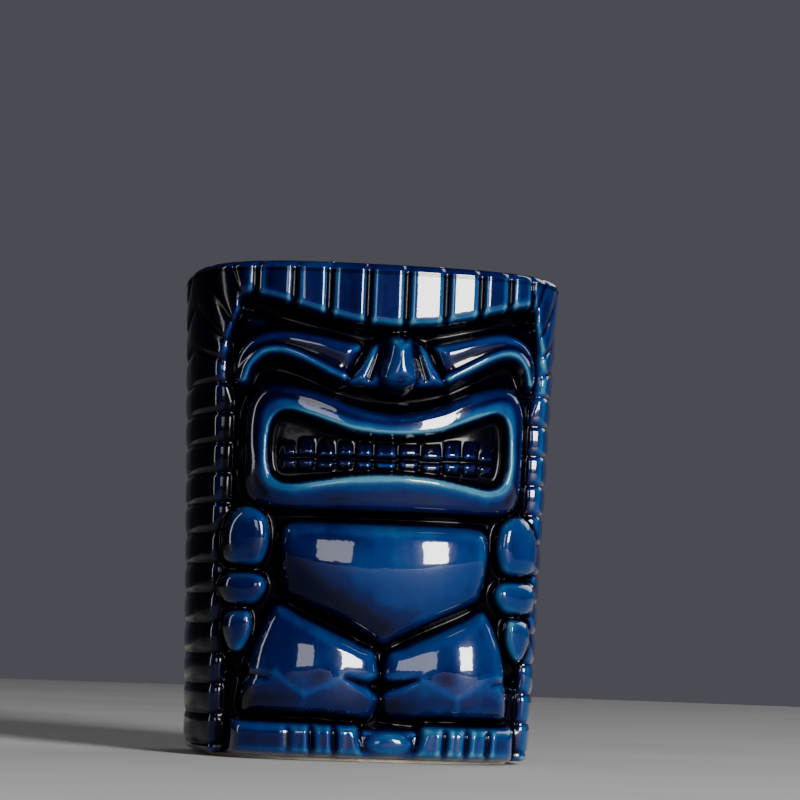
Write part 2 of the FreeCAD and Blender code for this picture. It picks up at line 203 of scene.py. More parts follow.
def smooth_line(points, closed, per_span=8):
    """Points along a Catmull-Rom curve through the given ones."""
    p = np.array(points, float)
    if closed:
        p = np.concatenate([p[-1:], p, p[:2]])
    else:
        p = np.concatenate([2 * p[:1] - p[1:2], p, 2 * p[-1:] - p[-2:-1]])
    t = np.linspace(0.0, 1.0, per_span, endpoint=False)[:, None]
    spans = []
    for p0, p1, p2, p3 in zip(p, p[1:], p[2:], p[3:]):
        bend = 2 * p0 - 5 * p1 + 4 * p2 - p3
        twist = 3 * p1 - p0 - 3 * p2 + p3
        spans.append(0.5 * (2 * p1 + (p2 - p0) * t + bend * t**2 + twist * t**3))
    line = np.concatenate(spans)
    return line if closed else np.concatenate([line, p[-2:-1]])


def whole(half):
    """A right half outline from its top middle to its bottom middle, with its mirror image."""
    return half + [(-u, v) for u, v in reversed(half) if u > 0]


def whole_open(half):
    """A right half stroke from its top middle, with its mirror image before it."""
    return [(-u, v) for u, v in reversed(half) if u > 0] + half


def on_side(side, points):
    return [(side * u, v) for u, v in points]


def near(points, margin):
    """Which grid vertices are within a margin of some points of the carving."""
    p = np.array(points, float)
    low, high = p.min(0) - margin, p.max(0) + margin
    return FRONT & (U > low[0]) & (U < high[0]) & (V > low[1]) & (V < high[1])


def to_segments(line, u, v, closed):
    """Distance to a line of points, how far along it that is from 0 to 1, and which points are inside."""
    ends = np.roll(line, -1, axis=0) if closed else line[1:]
    starts = line if closed else line[:-1]
    nearest = np.full(u.shape, np.inf)
    where = np.zeros(u.shape)
    inside = np.zeros(u.shape, bool)
    for i, ((u0, v0), (u1, v1)) in enumerate(zip(starts, ends)):
        run, rise = u1 - u0, v1 - v0
        along = np.clip(((u - u0) * run + (v - v0) * rise) / (run**2 + rise**2 + 1e-12), 0.0, 1.0)
        distance = np.hypot(u - u0 - along * run, v - v0 - along * rise)
        closer = distance < nearest
        nearest = np.where(closer, distance, nearest)
        where = np.where(closer, (i + along) / len(starts), where)
        if closed:
            crosses = (v0 > v) != (v1 > v)
            inside ^= crosses & (u < u0 + run * (v - v0) / (rise if rise else 1.0))
    return nearest, where, inside


def depth_inside(points, margin=6.0):
    """Distance inside a closed outline, and negative outside it. Far outside it is just very negative."""
    line = smooth_line(points, True)
    mask = near(points, margin)
    depth = np.full(X.shape, -1e3)
    distance, _, inside = to_segments(line, U[mask], V[mask], True)
    depth[mask] = np.where(inside, distance, -distance)
    return depth


def along_stroke(points, closed=False, margin=6.0):
    """Distance from an open or closed stroke, and how far along it."""
    line = smooth_line(points, closed)
    mask = near(points, margin)
    far = np.full(X.shape, 1e3)
    share = np.zeros(X.shape)
    far[mask], share[mask], _ = to_segments(line, U[mask], V[mask], closed)
    return far, share


def from_stroke(points, closed=False, margin=6.0):
    return along_stroke(points, closed, margin)[0]


SKIRT = 2.5  # how steeply a form's surface runs on down outside its edge


def domed(depth, radius, low, high, power=2.0):
    """A form with a rounded edge: low at its outline, and high once a radius inside."""
    inside = np.clip(depth / radius, 0.0, 1.0)
    rise = (1 - (1 - inside) ** power) ** (1 / power)
    return np.where(depth > 0, low + (high - low) * rise, low + SKIRT * depth)


def bead(distance, half_width, low, high):
    """A rounded ridge along a stroke."""
    inside = np.sqrt(np.clip(1 - (distance / half_width) ** 2, 0.0, 1.0))
    skirt = low - SKIRT * (distance - half_width)
    return np.where(distance < half_width, low + (high - low) * inside, skirt)


def smooth_max(a, b, fillet):
    blend = np.clip(1 - np.abs(a - b) / fillet, 0.0, 1.0)
    return np.maximum(a, b) + blend**2 * fillet / 4


def smooth_min(a, b, fillet):
    return -smooth_max(-a, -b, fillet)


def notch(distance, half_width, depth):
    """What a soft-edged groove takes away."""
    return depth * np.exp(-((distance / half_width) ** 2))


# The hair, the niche behind the figure and the fringe over it.


def rib_phase():
    """A field whose whole numbers are the grooves: level round the cup, and fanned at the temples."""
    arc = np.abs(ARC)
    level = (Z - LOWEST_RIB) / RIB_PITCH
    at_temple = (TEMPLE_Z - LOWEST_RIB) / RIB_PITCH
    angle = np.degrees(np.arctan2(Z - TEMPLE_Z, arc - TEMPLE_ARC))
    beside = smoothstep(LOCKS_FADE, LOCKS_LEVEL, arc)
    above = at_temple + (1 - beside) * angle / TEMPLE_STEP + beside * (Z - TEMPLE_Z) / RIB_PITCH
    return np.where(Z > TEMPLE_Z, above, level)


def hair_height():
    """The ribs: low pillows with a narrow groove between."""
    phase = rib_phase()
    from_groove = RIB_PITCH * np.abs(phase - np.round(phase))
    pillow = RIB_PILLOW * (1 - 2 * from_groove / RIB_PITCH) ** 2
    return -RIB_SINK - pillow - notch(from_groove, RIB_GROOVE_HALF_WIDTH, RIB_GROOVE)


def front_edge():
    """How far the hair stands back beside the face, where its front is flat as far as a tight corner."""
    corner = np.interp(Z, CORNER_Z, CORNER_X)
    half_width, half_depth = half_sizes(Z)
    flat = AXIS_Y - half_depth * (1 - (corner / half_width) ** PLAN_EXPONENT) ** (1 / PLAN_EXPONENT)
    flat += COLUMN_TILT * (np.abs(X) - corner)
    back = (flat - CORNER_PROUD - Y) / np.minimum(OUT_Y, -0.3)
    above = 12.0 * smoothstep(CORNER_FADES, CORNER_ENDS, Z)
    return smooth_min(np.where(Y < AXIS_Y - 10.0, back, FAR_IN) + above, 0.0, 0.9)


def from_flute_groove():
    return np.min(np.abs(X[..., None] - FLUTE_GROOVES), axis=2)


def flutes():
    """The fringe: nearly flat flutes with a narrow groove between, whose edges stand up a little."""
    from_groove = from_flute_groove()
    edge = notch(from_groove - 1.8, half_width=0.7, depth=FLUTE_EDGE)
    edge -= np.interp(X, FLUTE_LEAN_X, FLUTE_LEAN)
    return -FLUTE_SINK + edge - notch(from_groove, FLUTE_GROOVE_HALF_WIDTH, FLUTE_GROOVE_DEPTH)


def base_height():
    """The surface before the figure is added, how far into the hair it is, and where the fringe is."""
    edge = np.interp(np.abs(X), FRINGE_EDGE_X, FRINGE_EDGE_Z)
    in_fringe = FRONT & (np.abs(X) < FRINGE_HALF_WIDTH) & (Z > edge - FRINGE_DROP)
    top = np.where(in_fringe, flutes(), hair_height() + front_edge())
    over_edge = Z - edge
    beside = np.abs(X) - np.interp(Z, NICHE_EDGE_Z, NICHE_EDGE_X)
    under = NICHE_BOTTOM - Z
    into_hair = smooth_max(smooth_max(over_edge, beside, 3.0), under, 2.0)
    into_hair = np.where(FRONT, into_hair, FAR_IN)
    rise = np.clip(into_hair / HAIR_EDGE_RADIUS, 0.0, 1.0)
    rise = np.sqrt(1 - (1 - rise) ** 2)
    valley = notch(over_edge + VALLEY_BELOW, VALLEY_HALF_WIDTH, VALLEY_DEPTH)
    valley = valley * smoothstep(38.0, 34.0, np.abs(X)) * FRONT
    return top * rise - (NICHE_DEPTH + valley) * (1 - rise), into_hair, in_fringe


# The figure's outlines, as half outlines or for the viewer's right side.

BROW = [
    (8.8, 100.4), (14.0, 101.9), (20.0, 103.2), (26.0, 104.2), (31.5, 103.6), (35.6, 101.2),
    (38.0, 96.6), (38.2, 92.4), (36.2, 91.2), (34.0, 95.6), (31.0, 98.4), (27.5, 98.6),
    (24.0, 97.2), (20.2, 95.2), (16.0, 93.0), (12.6, 91.6), (9.8, 97.0),
]
BROW_RIDGE = [
    (10.0, 99.4), (16.0, 101.0), (22.0, 102.2), (28.0, 102.5), (33.0, 101.0), (35.8, 97.2),
    (36.6, 93.0),
]
BROW_HOLLOW = [
    (13.0, 95.6), (18.0, 98.0), (23.0, 99.9), (28.0, 100.6), (32.2, 99.6), (34.8, 96.4),
    (35.6, 93.2),
]
LOWER_CREST = [
    (12.8, 92.6), (16.5, 94.4), (20.6, 96.5), (24.4, 98.3), (28.0, 99.3), (31.6, 98.8),
    (34.4, 96.0), (35.6, 92.4),
]
EYE = (24.0, 94.0)
EYE_HOLLOW = [
    (0.0, 87.2), (6.0, 87.5), (11.0, 88.6), (16.0, 90.6), (21.0, 93.0), (26.0, 95.0),
    (31.0, 94.4), (34.4, 90.6),
]
NOSE = [
    (0.0, 102.6), (3.6, 102.0), (7.2, 99.8), (9.4, 96.2), (12.0, 92.4), (11.6, 90.4),
    (6.0, 89.8), (0.0, 89.6),
]
NOSE_BULB = [(0.0, 102.2), (2.6, 101.8), (3.4, 98.0), (4.5, 94.0), (4.4, 91.4), (2.4, 90.0), (0.0, 89.8)]
NOSE_GROOVE = [(4.4, 100.2), (5.5, 96.6), (6.9, 92.2)]

MUZZLE = [
    (0.0, 84.2), (10.0, 86.0), (15.0, 88.0), (20.5, 90.0), (27.0, 91.2), (31.6, 90.0),
    (34.4, 85.0), (34.8, 75.0), (34.2, 65.0), (31.0, 60.6), (24.0, 59.4), (0.0, 59.2),
]
OUTER_ROLL = [
    (0.0, 82.7), (9.0, 84.1), (15.0, 86.3), (20.5, 88.2), (27.0, 89.6), (31.2, 88.2),
    (33.2, 83.0), (33.4, 74.0), (32.8, 66.0), (30.0, 62.2),
]
LIP_GROOVE = [
    (0.0, 81.2), (9.0, 82.3), (15.0, 84.4), (20.5, 86.3), (27.0, 88.0), (30.6, 86.8),
    (32.0, 82.0), (32.2, 74.0), (31.8, 68.0), (29.6, 64.0),
]
LIP_CREST = [
    (0.0, 79.5), (9.5, 80.4), (15.0, 82.2), (20.5, 84.2), (26.4, 85.9), (29.8, 84.0),
    (30.7, 78.0), (30.6, 71.0), (29.2, 66.6), (24.5, 64.9), (18.0, 65.8), (9.5, 67.2),
    (0.0, 67.7),
]
MOUTH = [
    (0.0, 77.7), (9.5, 78.5), (15.0, 80.2), (20.5, 82.2), (25.8, 83.6), (28.2, 81.6),
    (28.9, 77.0), (28.7, 71.5), (27.2, 68.0), (24.0, 66.9), (18.0, 67.8), (9.5, 69.1),
    (0.0, 69.6),
]

BELLY = [
    (0.0, 57.7), (12.0, 57.8), (21.0, 57.6), (25.0, 55.8), (25.9, 50.0), (24.8, 42.0),
    (22.6, 38.4), (12.0, 33.4), (5.0, 29.8), (0.0, 27.4),
]
BELLY_UNDERLINE = 38.4
BELLY_MIDDLE = (6.0, 46.8)

# The arm on the right is carved broader than the one on the left.
ARM_INSIDE = 30.0
ARM_STRETCH = {-1: 1.0, 1: 1.14}
UPPER_ARM = [
    (30.4, 60.0), (34.8, 60.6), (38.2, 56.8), (38.9, 51.0), (37.2, 46.3), (30.2, 46.0),
    (27.7, 50.4), (28.0, 56.8),
]
FOREARM = [(29.6, 44.6), (37.2, 44.8), (39.2, 41.0), (37.0, 36.6), (30.6, 36.6), (27.6, 40.8)]
HAND = [(31.4, 35.6), (36.6, 35.4), (38.0, 31.0), (36.0, 25.6), (33.0, 25.2), (30.6, 30.0)]

LEG = [
    (0.7, 25.2), (5.5, 28.6), (11.0, 31.2), (19.0, 34.8), (23.6, 37.2), (26.6, 36.2),
    (30.4, 28.4), (31.8, 22.0), (32.8, 15.4), (32.8, 12.4), (31.0, 10.7), (16.0, 10.5),
    (0.7, 10.7),
]
KNEES = {-1: -16.1, 1: 26.4}
KNEE_HEIGHT = 20.9
INNER_CREASE = [(-0.6, 18.2), (4.0, 18.9), (8.8, 20.4)]
OUTER_CREASE = [(35.0, 20.6), (31.0, 20.2), (27.0, 19.7)]
KNEE_PIT, KNEE_PIT_DEPTH = (15.4, 20.4), 0.06
SHIN_RIDGE = [(10.2, 20.0), (14.4, 18.0), (18.6, 16.2), (23.2, 18.8), (25.4, 21.0)]
SHIN_STEM = [(18.6, 16.2), (18.8, 11.6)]
KNEE_LINE = 19.6

FOOT_TOP = 9.7
FOOT_OUTER = 35.2
FEET_MIDDLE, FEET_HALF_GAP = 2.8, 6.2
TOE_GROOVES = (13.4, 18.9, 24.4)
LEFT_TOE_DEPTHS = (1.0, 1.0, 0.4)
RIGHT_TOE_DEPTHS = (1.0, 1.0, 1.0)
FEET_BOTTOM, FEET_CENTRE = 0.4, 5.0
FOOT_SPLAY, TOE_SPLAY = 0.25, 0.06
BOSS_CENTRE, BOSS_HALF_WIDTH, BOSS_HALF_HEIGHT = 4.6, 6.0, 3.1
BOSS_GROUND_HALF_WIDTH, BOSS_GROUND_TOP = 8.0, 8.4

TOOTH_EDGES = (-26.2, -22.4, -18.2, -13.4, -9.0, -4.4, 1.4, 7.0, 12.6, 17.4, 21.8, 26.2)
TOOTH_SIDE_GAP, BITE_GAP = 0.12, 0.35
UPPER_GUM, BITE, LOWER_GUM = 77.6, 72.8, 69.3
LIP_HALF_WIDTH, LIP_TURN_IN = 2.2, 0.7

# How far each form stands out from the envelope, in millimetres.
PROUD = {
    "brow": -1.0,
    "nose": 4.6,
    "nostril": -0.2,
    "lip": 2.9,
    "belly": 4.1,
    "arm": 1.0,
    "leg": 3.2,
    "foot": 1.5,
}
WALL = -NICHE_DEPTH
NOWHERE = WALL - 5.0  # the height of a form where it isn't
OUTSIDE = -50.0  # the depth inside an outline, far outside it

# How much darker the glaze is coloured in some places: in the lip groove, where it pools; on the brows,
# the nose and the muzzle round the lips; and as painted shade towards the left, under the belly, in the
# mouth, in the knee pits, down the shins and in the flute grooves, where it also pools. Then how much
# thinner it runs over edges.
DARKENING_AND_SHADE = {
    "brow": 0.15,
    "nose": 0.2,
    "muzzle": 0.22,
    "lip_groove": 0.3,
    "mouth": 0.3,
    "underbelly": 0.35,
    "knee_pit": 0.3,
    "shin": 0.3,
    "left": 0.22,
    "flute_groove": 0.6,
}
BARED = {
    "eyelid": 0.25,
    "lip": 0.4,
    "shin_ridge": 0.16,
    "flute_edge": 0.4,
}

GLAZE_SOFTENING = 0.9  # in grid cells
WOBBLE = 0.03
FOOT_RADIUS = 1.8  # of the wall's lower edge

# How the muzzle falls away from the lips, and under them as well.
MUZZLE_SLOPE, CHIN_SLOPE = 0.09, 0.15


class Sculpture:
    """The surface's height above the envelope, each vertex's form, and how light or dark its glaze is
    coloured: from thin glaze, from pooled glaze and from painted shade.
    """

    def __init__(self, height):
        self.height = height
        self.names = np.zeros(height.shape, int)
        self.glaze_and_shade = np.zeros(height.shape)
        self.index = {"": 0}

    def code(self, name):
        return self.index.setdefault(name, len(self.index))

    def label(self, name, where):
        self.names = np.where(where, self.code(name), self.names)

    def add(self, name, form, fillet):
        raised = form > self.height + 0.02
        self.height = smooth_max(self.height, form, fillet)
        self.label(name, raised)

    def carve(self, groove):
        self.height = self.height - groove

    def raise_by(self, ridge):
        self.height = self.height + ridge


def brows(clay, side, prefix):
    """A broad band with a soft ridge along its top, and a sharper crest under a shallow hollow."""
    band = domed(depth_inside(on_side(side, BROW)), radius=3.2, low=WALL, high=PROUD["brow"])
    clay.add(prefix + "brow", band, fillet=2.4)
    inside = smoothstep(WALL, WALL + 3.0, band)
    ridge = from_stroke(on_side(side, BROW_RIDGE))
    clay.raise_by(notch(ridge, half_width=2.8, depth=0.10) * inside)
    clay.glaze_and_shade -= DARKENING_AND_SHADE["brow"] * inside
    hollow = from_stroke(on_side(side, BROW_HOLLOW))
    clay.carve(notch(hollow, half_width=1.5, depth=0.45) * inside)
    crest = from_stroke(on_side(side, LOWER_CREST))
    clay.glaze_and_shade += notch(crest, half_width=0.9, depth=BARED["eyelid"])
    lid = bead(crest, half_width=1.25, low=WALL + 3.0, high=PROUD["brow"] + 0.45)
    clay.add(prefix + "eyelid", lid, fillet=1.2)


def nose(clay):
    """A broad nose whose wings stand back from its bulb."""
    wing_height = PROUD["nostril"] - 0.05 * np.abs(U) + 0.16 * (96.0 - V)
    wings = domed(depth_inside(whole(NOSE)), radius=2.8, low=WALL, high=wing_height)
    clay.add("left_nostril", np.where(U < 0, wings, NOWHERE), fillet=1.6)
    clay.add("right_nostril", np.where(U >= 0, wings, NOWHERE), fillet=1.6)
    bulb = depth_inside(whole(NOSE_BULB))
    bulb_height = PROUD["nose"] - 0.09 * np.abs(V - 93.4)
    clay.add("nose", domed(bulb, radius=4.0, low=WALL + 4.0, high=bulb_height), fillet=1.0)
    clay.glaze_and_shade -= DARKENING_AND_SHADE["nose"] * smoothstep(-0.5, 1.5, bulb)
    for side in (-1, 1):
        clay.carve(notch(from_stroke(on_side(side, NOSE_GROOVE)), half_width=0.7, depth=1.3))


def muzzle(clay, cavity):
    """A mouth stretched wide: the lips stand forward, and the muzzle falls away all round them."""
    lip = from_stroke(whole(LIP_CREST), closed=True, margin=14.0)
    fall = MUZZLE_SLOPE + CHIN_SLOPE * smoothstep(76.0, 66.0, V)
    high = PROUD["lip"] - 0.1 - fall * np.minimum(lip, 12.0) - rounded_off(U, curve=0.0042, reach=14.0)
    clay.add("muzzle", domed(depth_inside(whole(MUZZLE)), radius=3.0, low=WALL, high=high), fillet=2.2)
    roll = from_stroke(whole_open(OUTER_ROLL))
    clay.raise_by(notch(roll, half_width=1.5, depth=0.03))
    groove = from_stroke(whole_open(LIP_GROOVE))
    clay.carve(notch(groove, half_width=0.8, depth=0.05))
    fuller_below = 1.0 + 5.0 * smoothstep(79.0, 72.0, V)
    clay.raise_by(notch(lip, half_width=1.6, depth=0.11) * fuller_below)
    clay.glaze_and_shade += notch(lip, half_width=1.3, depth=BARED["lip"])
    clay.glaze_and_shade -= notch(groove, half_width=0.8, depth=DARKENING_AND_SHADE["lip_groove"])
    round_the_lips = (cavity < -0.5) & (clay.names == clay.code("muzzle"))
    clay.glaze_and_shade -= DARKENING_AND_SHADE["muzzle"] * smoothstep(2.0, 4.0, lip) * round_the_lips
    clay.label("lip_ring", lip < LIP_HALF_WIDTH)


def open_mouth(clay, cavity):
    """The hollow of the mouth, which the lips turn down into."""
    drop = np.sqrt(1 - (1 - np.clip((cavity + LIP_TURN_IN) / 2.4, 0, 1)) ** 2)
    hollow = clay.height + (WALL + 1.2 - clay.height) * drop
    clay.height = np.where(cavity > -LIP_TURN_IN, hollow, clay.height)
    clay.label("", cavity > 1.0)
    # Painted shade: the glaze is coloured darker inside the mouth.
    clay.glaze_and_shade -= DARKENING_AND_SHADE["mouth"] * smoothstep(0.0, 1.5, cavity)


def teeth(clay, cavity):
    """Two rows of uneven pillow teeth, which close up towards the corners of the mouth."""
    edges = np.array(TOOTH_EDGES)
    index = np.clip(np.searchsorted(edges, U) - 1, 0, len(edges) - 2)
    beside = np.minimum(U - edges[index], edges[index + 1] - U) - TOOTH_SIDE_GAP
    bite = BITE + 0.25 * np.sin(index * 2.4)
    upper = np.minimum(UPPER_GUM + 0.0016 * U**2 - V, V - bite - BITE_GAP)
    lower = np.minimum(bite - BITE_GAP - V, V - LOWER_GUM)
    for name, row in (("upper_teeth", upper), ("lower_teeth", lower)):
        within = np.minimum(np.minimum(row, beside), cavity - 0.2)
        shown = (within > -1.5) & FRONT
        uneven = 0.3 * np.sin(index * 1.7)
        high = WALL + 4.0 - 0.04 * np.abs(U) + uneven - 0.42 * np.abs(V - bite)
        pillow = domed(within, radius=1.3, low=WALL + 0.8, high=high)
        clay.add(name, np.where(shown, pillow, NOWHERE), fillet=0.5)


def rounded_off(across, curve, reach):
    """How far a form falls away from its middle: as a parabola to begin with, and then straight."""
    away = np.minimum(np.abs(across), reach)
    return curve * away * (2 * np.abs(across) - away)


def belly(clay):
    """A pot belly that overhangs its own underside, which runs down to a point between the legs."""
    depth = depth_inside(whole(BELLY), margin=8.0)
    middle_u, middle_v = BELLY_MIDDLE
    line = BELLY_UNDERLINE + 0.02 * (U - 2.0) ** 2
    rise = np.where(V > middle_v, 0.0185, 0.006) * (V - middle_v) ** 2
    crown = PROUD["belly"] - rounded_off(U - middle_u, curve=0.0042, reach=24.0) - rise
    underside = PROUD["belly"] - 1.0 + 0.42 * (V - line)
    high = np.maximum(smooth_min(crown, underside, 2.4), WALL + 2.5)
    clay.add("belly", domed(depth, radius=3.6, low=WALL, high=high), fillet=2.4)
    # Painted shade: the glaze is coloured darker down the belly's underside, below its overhang.
    clay.glaze_and_shade -= DARKENING_AND_SHADE["underbelly"] * smoothstep(1.0, -7.0, V - line + 0.12 * U) * (depth > 0.0)


def arms(clay, side, prefix):
    for name, outline, radius, extra in (
        ("upper_arm", UPPER_ARM, 4.6, 0.4),
        ("forearm", FOREARM, 4.2, 0.0),
        ("hand", HAND, 3.4, 0.0),
    ):
        stretched = [(ARM_INSIDE + (u - ARM_INSIDE) * ARM_STRETCH[side], v) for u, v in outline]
        high = PROUD["arm"] + extra + 0.2 * (side * U - 33.0)
        roll = domed(depth_inside(on_side(side, stretched)), radius, low=WALL, high=high, power=2.6)
        clay.add(prefix + name, roll, fillet=1.8)


def knee_crease(clay, outline, widening, least_depth, deepening):
    """A crease that narrows and dies away towards the knee."""
    crease, share = along_stroke(outline)
    clay.carve(notch(crease, 0.4 + widening * (1 - share), least_depth + deepening * (1 - share)))


def legs(clay, side, prefix):
    """Bent legs seen from the front, where the thigh and the shin meet at a round knee."""
    high = PROUD["leg"] - rounded_off(U - KNEES[side], curve=0.0102, reach=14.0)
    high = high - rounded_off(V - KNEE_HEIGHT, curve=0.0175, reach=9.0)
    leg = domed(depth_inside(on_side(side, LEG)), radius=3.6, low=WALL, high=high)
    clay.add(prefix + "thigh", np.where(V >= KNEE_LINE, leg, NOWHERE), fillet=1.8)
    clay.add(prefix + "shin", np.where(V < KNEE_LINE, leg, NOWHERE), fillet=1.8)
    knee_crease(clay, on_side(side, INNER_CREASE), widening=1.3, least_depth=0.6, deepening=2.6)
    knee_crease(clay, on_side(side, OUTER_CREASE), widening=0.9, least_depth=0.3, deepening=1.8)
    pit_u, pit_v = KNEE_PIT
    pit = np.exp(-(((side * U - pit_u) / 2.2) ** 2 + ((V - pit_v) / 1.8) ** 2))
    clay.carve(KNEE_PIT_DEPTH * pit)
    # Painted shade: darker in the knee pits and down the lower shins.
    clay.glaze_and_shade -= (leg > WALL) * (DARKENING_AND_SHADE["knee_pit"] * pit + DARKENING_AND_SHADE["shin"] * smoothstep(19.0, 12.5, V))
    for stroke in (SHIN_RIDGE, SHIN_STEM):
        ridge = from_stroke(on_side(side, stroke))
        clay.raise_by(notch(ridge, half_width=1.1, depth=0.09))
        clay.glaze_and_shade += notch(ridge, half_width=0.8, depth=BARED["shin_ridge"])


def feet(clay, side, prefix, toe_depths):
    """A foot across the bottom of the figure, with grooves between its toes."""
    across = side * (U - FEET_MIDDLE)
    inner = across - FEET_HALF_GAP - FOOT_SPLAY * (V - FEET_CENTRE)
    sides = smooth_min(inner, FOOT_OUTER - side * U, 3.0)
    within = smooth_min(sides, smooth_min(FOOT_TOP - V, V - FEET_BOTTOM, 2.0), 1.5)
    within = np.where(FRONT, within, OUTSIDE)
    clay.add(prefix + "foot", domed(within, radius=2.6, low=WALL, high=PROUD["foot"]), fillet=1.4)
    for place, depth in zip(TOE_GROOVES, toe_depths):
        beside = np.abs(across - place - TOE_SPLAY * (V - FEET_CENTRE))
        swell = notch(beside - 1.6, half_width=0.8, depth=0.2)
        groove = notch(beside, half_width=0.75, depth=1.6) - swell
        clay.carve(depth * groove * smoothstep(0.3, 1.6, within))
    toes = (across > TOE_GROOVES[0]) & (across < TOE_GROOVES[-1]) & (within > 0.8)
    clay.label(prefix + "toes", toes)


def boss(clay):
    """A small oval between the feet, on ground of its own."""
    across = np.abs(U - FEET_MIDDLE)
    level = smooth_min(BOSS_GROUND_TOP - V, V - FEET_BOTTOM, 1.5)
    ground = smooth_min(BOSS_GROUND_HALF_WIDTH - across, level, 1.5)
    ground = np.where(FRONT, ground, OUTSIDE)
    clay.add("centre_boss", domed(ground, radius=1.8, low=WALL, high=PROUD["foot"] - 2.4), fillet=1.2)
    outside = np.hypot(across / BOSS_HALF_WIDTH, (V - BOSS_CENTRE) / BOSS_HALF_HEIGHT)
    oval = np.where(FRONT, BOSS_HALF_HEIGHT * (1 - outside), OUTSIDE)
    oval = domed(oval, radius=2.4, low=PROUD["foot"] - 3.0, high=PROUD["foot"] - 0.4)
    clay.add("centre_boss", oval, fillet=0.8)


def label_hair(clay, into_hair, in_fringe):
    """Names the fringe, the locks that fan out at the temples, and the ribs at the sides and the back."""
    in_hair = into_hair > 0.05
    beside = in_hair & ~in_fringe
    level = (Z <= TEMPLE_Z) | (np.abs(ARC) > LOCKS_END)
    back = np.abs(ARC) > SIDE_RIBS_END
    right = ARC > 0
    clay.label("hair_fringe", in_hair & in_fringe)
    clay.label("left_temple_locks", beside & ~level & ~right)
    clay.label("right_temple_locks", beside & ~level & right)
    clay.label("left_hair_ribs", beside & level & ~back & ~right)
    clay.label("right_hair_ribs", beside & level & ~back & right)
    clay.label("back_hair_ribs", back)


def eye_sockets(clay, in_niche):
    for side in (-1, 1):
        socket = ((side * U - EYE[0]) / 8.0) ** 2 + ((V - EYE[1]) / 2.2) ** 2
        clay.carve(0.8 * np.exp(-socket) * in_niche)
    hollow = from_stroke(whole_open(EYE_HOLLOW))
    clay.carve(notch(hollow, half_width=2.2, depth=1.7) * in_niche)


def paint_shade_and_pool_glaze(clay, in_fringe):
    """Painted shade towards the left and on the left side wall; darker between the flutes, from pooled
    glaze and painted shade; thinner glaze on their edges.
    """
    # Painted shade: darker towards the left, and darker still on the left side wall, which turns away
    # from the light.
    across_face, on_side_wall = smoothstep(6.0, -30.0, X), smoothstep(-36.0, -37.5, X)
    from_back = smoothstep(AXIS_Y + 40.0, AXIS_Y - 20.0, Y)
    clay.glaze_and_shade -= DARKENING_AND_SHADE["left"] * (across_face + 2.0 * on_side_wall) * from_back
    # Darker in the flute grooves, from pooled glaze and painted shade, and lighter on the flute edges,
    # where the glaze thins.
    from_groove = from_flute_groove()
    groove = notch(from_groove, half_width=0.9, depth=DARKENING_AND_SHADE["flute_groove"])
    edge = notch(from_groove - 1.45, half_width=0.45, depth=BARED["flute_edge"])
    clay.glaze_and_shade -= (groove - edge) * in_fringe


def soften(clay):
    """A glaze's soft edges and slight waves, and the rounded edge where the wall meets the foot."""
    wobble = blurred(rng.normal(size=X.shape), 9.0, 9.0)
    clay.height = blurred(clay.height, GLAZE_SOFTENING, GLAZE_SOFTENING) + WOBBLE * wobble / wobble.std()
    foot_round = np.clip((BODY_BOTTOM + FOOT_RADIUS - Z) / FOOT_RADIUS, 0.0, 1.0)
    clay.height = clay.height - 1.6 * (1 - np.sqrt(1 - foot_round**2))


def sculpt():
    height, into_hair, in_fringe = base_height()
    clay = Sculpture(height)
    label_hair(clay, into_hair, in_fringe)
    eye_sockets(clay, into_hair < -1.0)
    for side, prefix, toe_depths in ((-1, "left_", LEFT_TOE_DEPTHS), (1, "right_", RIGHT_TOE_DEPTHS)):
        arms(clay, side, prefix)
        legs(clay, side, prefix)
        brows(clay, side, prefix)
        feet(clay, side, prefix, toe_depths)
    boss(clay)
    belly(clay)
    nose(clay)
    cavity = depth_inside(whole(MOUTH))
    muzzle(clay, cavity)
    open_mouth(clay, cavity)
    teeth(clay, cavity)
    paint_shade_and_pool_glaze(clay, in_fringe)
    soften(clay)
    return clay


# Rings of the closed vessel, from the middle of its underside round to the middle of its floor.

RIM_INSET = HAIR_THICKNESS + WALL_THICKNESS
FLOOR_CORNER = 6.0  # radius between the inside wall and the floor


def ring(z, side, front, back):
    x, y = plan(TURNS, z, side, front, back)
    return np.stack([x, y, np.full(x.shape, z)], axis=1)


def around(centre, share, edge):
    """A ring drawn in towards a centre, to a share of its size."""
    middle = np.array([0.0, centre, edge[0, 2]])
    return middle + (edge - middle) * share


def underside_rings():
    under = ring(FOOT_RING_TOP, 8.0, 8.0, 8.0)
    rings = [around(AXIS_Y, share, under) for share in (0.02, 0.3, 0.6, 0.85, 1.0)]
    return rings + [ring(FOOT_RING_TOP - 0.4, 5.0, 5.0, 5.0), ring(BODY_BOTTOM, 2.6, 3.4, 2.6)]


def lip_rings(height):
    """Half a round, from the top of the outside over to the inside."""
    rings = []
    for turn in np.linspace(0, math.pi, 17)[1:]:
        inset = RIM_INSET * (1 - math.cos(turn)) / 2
        edge = ring(HEIGHT - LIP_RISE + LIP_RISE * math.sin(turn), inset, inset, inset)
        fade = math.sqrt(max(0.0, math.cos(turn)))
        edge[:, 0] += OUT_X[-1] * height[-1] * fade
        edge[:, 1] += OUT_Y[-1] * height[-1] * fade
        rings.append(edge)
    return rings


